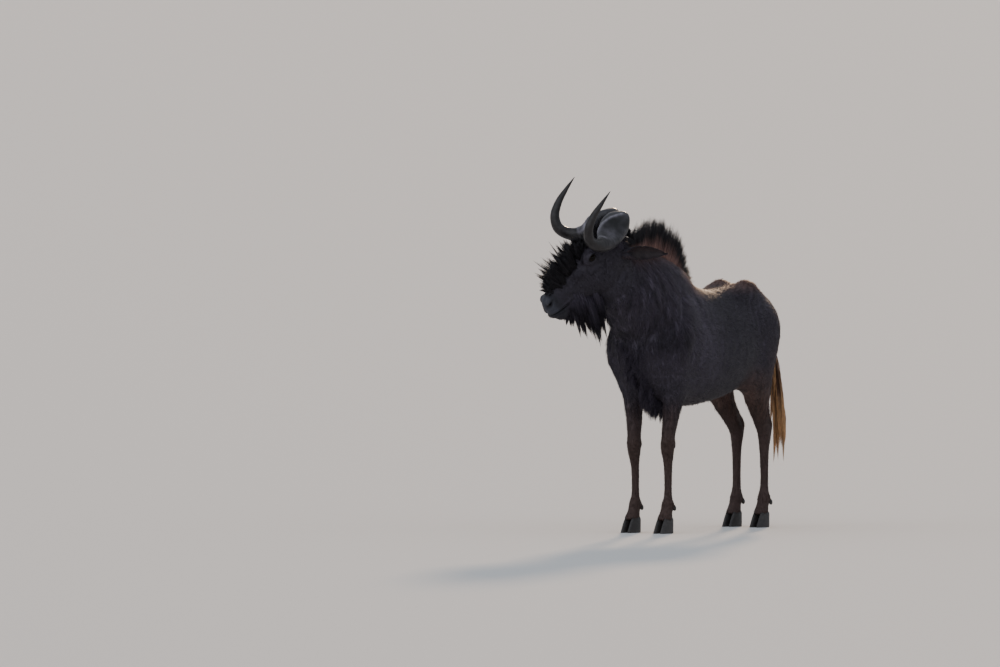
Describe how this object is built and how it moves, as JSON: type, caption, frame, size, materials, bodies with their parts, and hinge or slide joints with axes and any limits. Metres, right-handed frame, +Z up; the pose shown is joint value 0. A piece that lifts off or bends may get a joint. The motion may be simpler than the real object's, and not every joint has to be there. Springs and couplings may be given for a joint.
{
  "type": "black wildebeest",
  "caption": "Life-size standing black wildebeest bull, head turned to its right, with hooked horns, upright mane, face brush, beard and long tail, as a still museum model.",
  "frame": {"origin": "on the floor under the middle of the model's bounding box", "axes": "+X along the trunk towards the head end, +Y to the animal's left, +Z up"},
  "size_m": [1.5378, 0.489, 1.4777],
  "materials": {
    "coat": "short near-black brown hair with a soft cool sheen; rust-brown roots and black tips in the mane",
    "horn": "charcoal horn, finely ridged at the boss, smoother to the tips",
    "hoof": "dull dark horn",
    "eye": "wet dark brown",
    "tail_hair": "long coarse hair, dark at the root, rust to pale orange-brown at the tips"
  },
  "bodies": {
    "root": {"ear_left": "coat", "ear_right": "coat", "eye_left": "eye", "eye_right": "eye", "foreleg_left": "coat", "foreleg_right": "coat", "head": "coat", "hindleg_left": "coat", "hindleg_right": "coat", "hoof_fore_left_inner": "hoof", "hoof_fore_left_outer": "hoof", "hoof_fore_right_inner": "hoof", "hoof_fore_right_outer": "hoof", "hoof_hind_left_inner": "hoof", "hoof_hind_left_outer": "hoof", "hoof_hind_right_inner": "hoof", "hoof_hind_right_outer": "hoof", "horn_left": "horn", "horn_right": "horn", "neck": "coat", "tail": "tail_hair", "torso": "coat"}
  },
  "joints": []
}
